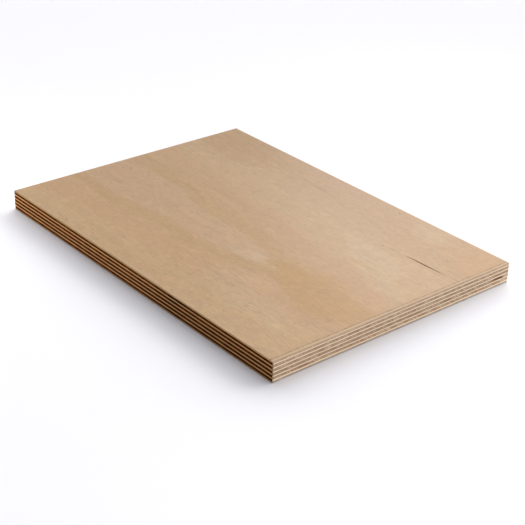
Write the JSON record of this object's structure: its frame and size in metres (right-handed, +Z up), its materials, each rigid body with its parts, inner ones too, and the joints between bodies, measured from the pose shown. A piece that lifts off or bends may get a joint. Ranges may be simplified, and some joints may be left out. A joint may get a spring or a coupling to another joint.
{
  "type": "plywood sheet",
  "caption": "Flat rectangular panel of crosswise glued wood veneers with bare sawn edges, lying face up.",
  "frame": {"origin": "centre of the panel's bottom face, on the floor it lies on", "axes": "+X along the length and the face grain, +Y across the grain, +Z up through the plies to the face veneer"},
  "size_m": [0.297, 0.21, 0.015],
  "materials": {
    "face_veneer": "bare sanded birch veneer",
    "cross_ply": "sawn birch veneer, grain across the panel",
    "long_ply": "sawn birch veneer, grain along the panel",
    "back_veneer": "bare sanded birch veneer"
  },
  "bodies": {
    "root": {"face_veneer": "face_veneer", "cross_ply_1": "cross_ply", "long_ply_1": "long_ply", "cross_ply_2": "cross_ply", "long_ply_2": "long_ply", "cross_ply_3": "cross_ply", "long_ply_3": "long_ply", "cross_ply_4": "cross_ply", "long_ply_4": "long_ply", "cross_ply_5": "cross_ply", "back_veneer": "back_veneer"}
  },
  "joints": []
}
